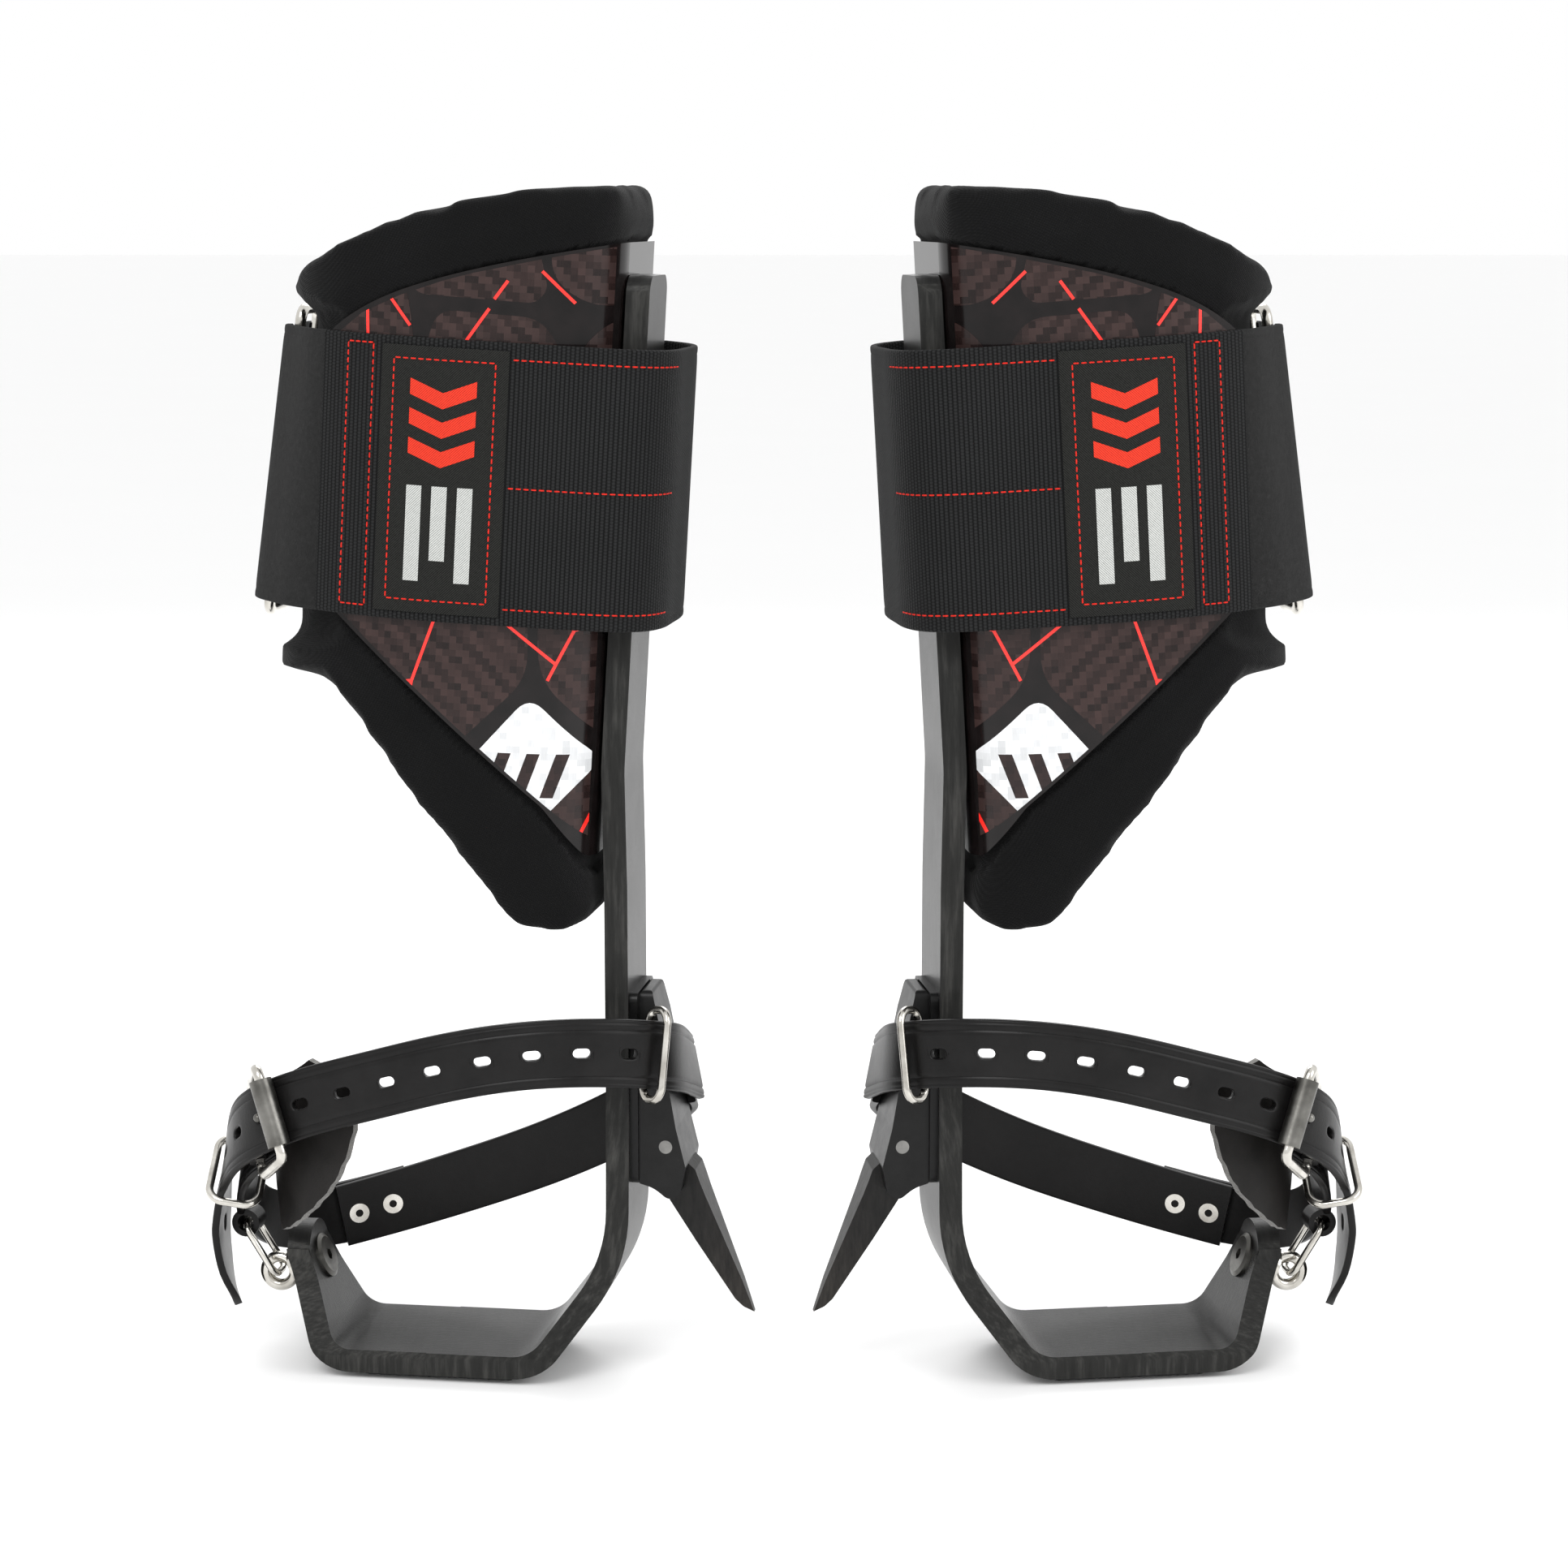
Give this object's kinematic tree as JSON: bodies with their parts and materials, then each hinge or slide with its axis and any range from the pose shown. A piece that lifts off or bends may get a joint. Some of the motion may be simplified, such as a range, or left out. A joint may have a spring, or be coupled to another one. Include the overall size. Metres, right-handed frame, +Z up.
{
  "type": "pair of tree climbing spurs",
  "caption": "Pair of tree climbing spurs: carbon shanks with inner gaffs, boot stirrups, padded calf cuffs with webbing straps and leather ankle straps.",
  "frame": {"origin": "middle of the pair at floor level, under the centre of the bounding box", "axes": "+X to the right as seen from the front, +Y from the front towards the back, +Z up; the shins face -Y and the gaffs face the pair's middle"},
  "size_m": [0.4356, 0.1284, 0.4427],
  "materials": {
    "carbon_composite": "carbon-fibre laminate, glossy faces and brushed matte edges",
    "rubber": "matt studded rubber",
    "black_steel": "satin black coated steel",
    "gaff_steel": "black oxide with ground bevels",
    "bolt_steel": "dark satin steel",
    "nickel_plate": "bright nickel-plated wire",
    "gunmetal": "dark polished steel",
    "leather": "semi-gloss black leather with creased edge lines",
    "suede_leather": "black leather with raw grey edges",
    "printed_shell": "glossy shell printed with dark cells and thin red lines",
    "pad_fabric": "black woven fabric over foam",
    "webbing": "ribbed black nylon webbing with red stitches",
    "patch_fabric": "dark twill patch",
    "hook_and_loop": "napped hook-and-loop tape"
  },
  "bodies": {
    "left_frame": {"left_shank_frame": "carbon_composite", "left_sole_tread": "rubber", "left_gaff_mount_plate": "black_steel", "left_gaff_holder": "black_steel", "left_gaff": "gaff_steel", "left_gaff_bolts": "bolt_steel", "left_gaff_retaining_pin": "bolt_steel", "left_lateral_bolt": "bolt_steel", "left_eye_nut": "nickel_plate", "left_ankle_strap_front": "leather", "left_ankle_strap_rear": "leather", "left_strap_rivets": "nickel_plate", "left_buckle_strap": "leather", "left_buckle_guard": "suede_leather", "left_buckle_frame": "nickel_plate", "left_cuff_bolts": "bolt_steel", "left_cuff_nuts": "bolt_steel"},
    "left_cuff": {"left_cuff_shell": "printed_shell", "left_cuff_pad": "pad_fabric", "left_cuff_strap_front": "webbing", "left_label_patch": "patch_fabric", "left_ring_tab": "hook_and_loop", "left_cuff_ring": "nickel_plate", "left_cuff_strap_rear": "webbing"},
    "left_flap": {"left_strap_flap": "hook_and_loop"},
    "left_prong": {"left_buckle_prong": "gunmetal"},
    "left_roller": {"left_buckle_roller": "gunmetal"},
    "left_link": {"left_lower_link": "nickel_plate"},
    "left_keeper": {"left_keeper_ring": "nickel_plate"},
    "left_holder_ring": {"left_holder_ring": "nickel_plate"},
    "right_frame": {"right_shank_frame": "carbon_composite", "right_sole_tread": "rubber", "right_gaff_mount_plate": "black_steel", "right_gaff_holder": "black_steel", "right_gaff": "gaff_steel", "right_gaff_bolts": "bolt_steel", "right_gaff_retaining_pin": "bolt_steel", "right_lateral_bolt": "bolt_steel", "right_eye_nut": "nickel_plate", "right_ankle_strap_front": "leather", "right_ankle_strap_rear": "leather", "right_strap_rivets": "nickel_plate", "right_buckle_strap": "leather", "right_buckle_guard": "suede_leather", "right_buckle_frame": "nickel_plate", "right_cuff_bolts": "bolt_steel", "right_cuff_nuts": "bolt_steel"},
    "right_cuff": {"right_cuff_shell": "printed_shell", "right_cuff_pad": "pad_fabric", "right_cuff_strap_front": "webbing", "right_label_patch": "patch_fabric", "right_ring_tab": "hook_and_loop", "right_cuff_ring": "nickel_plate", "right_cuff_strap_rear": "webbing"},
    "right_flap": {"right_strap_flap": "hook_and_loop"},
    "right_prong": {"right_buckle_prong": "gunmetal"},
    "right_roller": {"right_buckle_roller": "gunmetal"},
    "right_link": {"right_lower_link": "nickel_plate"},
    "right_keeper": {"right_keeper_ring": "nickel_plate"},
    "right_holder_ring": {"right_holder_ring": "nickel_plate"}
  },
  "joints": [
    {"name": "pair_spacing", "type": "slide", "parent": "left_frame", "child": "right_frame", "axis": [1, 0, 0], "range_m": [0, 0.3]},
    {"name": "left_cuff_height", "type": "slide", "parent": "left_frame", "child": "left_cuff", "axis": [0.0589, -0.0083, 0.9982], "range_m": [-0.012, 0.012]},
    {"name": "left_strap_flap", "type": "hinge", "parent": "left_cuff", "child": "left_flap", "pos_m": [-0.17904, 0.01193, 0.34148], "axis": [0.1356, -0.0191, 0.9906], "range_deg": [0, 120]},
    {"name": "left_buckle_prong", "type": "hinge", "parent": "left_frame", "child": "left_prong", "pos_m": [-0.19645, -0.02398, 0.09277], "axis": [-0.1862, 0.5157, 0.8363], "range_deg": [0, 5]},
    {"name": "left_buckle_roller", "type": "hinge", "parent": "left_frame", "child": "left_roller", "pos_m": [-0.18823, -0.04644, 0.10583], "axis": [-0.3016, 0.2864, 0.9094], "continuous": true},
    {"name": "left_lower_link", "type": "hinge", "parent": "left_frame", "child": "left_link", "pos_m": [-0.19277, 0.00073, 0.0312], "axis": [0.1392, 0.9903, 0], "range_deg": [-3, 3]},
    {"name": "left_keeper_ring", "type": "hinge", "parent": "left_frame", "child": "left_keeper", "pos_m": [-0.20685, -0.0061, 0.0724], "axis": [0.0351, 0.8484, 0.5282], "range_deg": [-6, 6]},
    {"name": "left_holder_ring", "type": "hinge", "parent": "left_frame", "child": "left_holder_ring", "pos_m": [-0.04686, -0.04457, 0.12721], "axis": [0.0893, 0.2301, 0.9691], "range_deg": [-6, 6]},
    {"name": "right_cuff_height", "type": "slide", "parent": "right_frame", "child": "right_cuff", "axis": [-0.0589, -0.0083, 0.9982], "range_m": [-0.012, 0.012]},
    {"name": "right_strap_flap", "type": "hinge", "parent": "right_cuff", "child": "right_flap", "pos_m": [0.17904, 0.01193, 0.34148], "axis": [0.1356, 0.0191, -0.9906], "range_deg": [0, 120]},
    {"name": "right_buckle_prong", "type": "hinge", "parent": "right_frame", "child": "right_prong", "pos_m": [0.19645, -0.02398, 0.09277], "axis": [-0.1862, -0.5157, -0.8363], "range_deg": [0, 5]},
    {"name": "right_buckle_roller", "type": "hinge", "parent": "right_frame", "child": "right_roller", "pos_m": [0.18823, -0.04644, 0.10583], "axis": [-0.3016, -0.2864, -0.9094], "continuous": true},
    {"name": "right_lower_link", "type": "hinge", "parent": "right_frame", "child": "right_link", "pos_m": [0.19277, 0.00073, 0.0312], "axis": [0.1392, -0.9903, 0], "range_deg": [-3, 3]},
    {"name": "right_keeper_ring", "type": "hinge", "parent": "right_frame", "child": "right_keeper", "pos_m": [0.20685, -0.0061, 0.0724], "axis": [0.0351, -0.8484, -0.5282], "range_deg": [-6, 6]},
    {"name": "right_holder_ring", "type": "hinge", "parent": "right_frame", "child": "right_holder_ring", "pos_m": [0.04686, -0.04457, 0.12721], "axis": [0.0893, -0.2301, -0.9691], "range_deg": [-6, 6]}
  ]
}
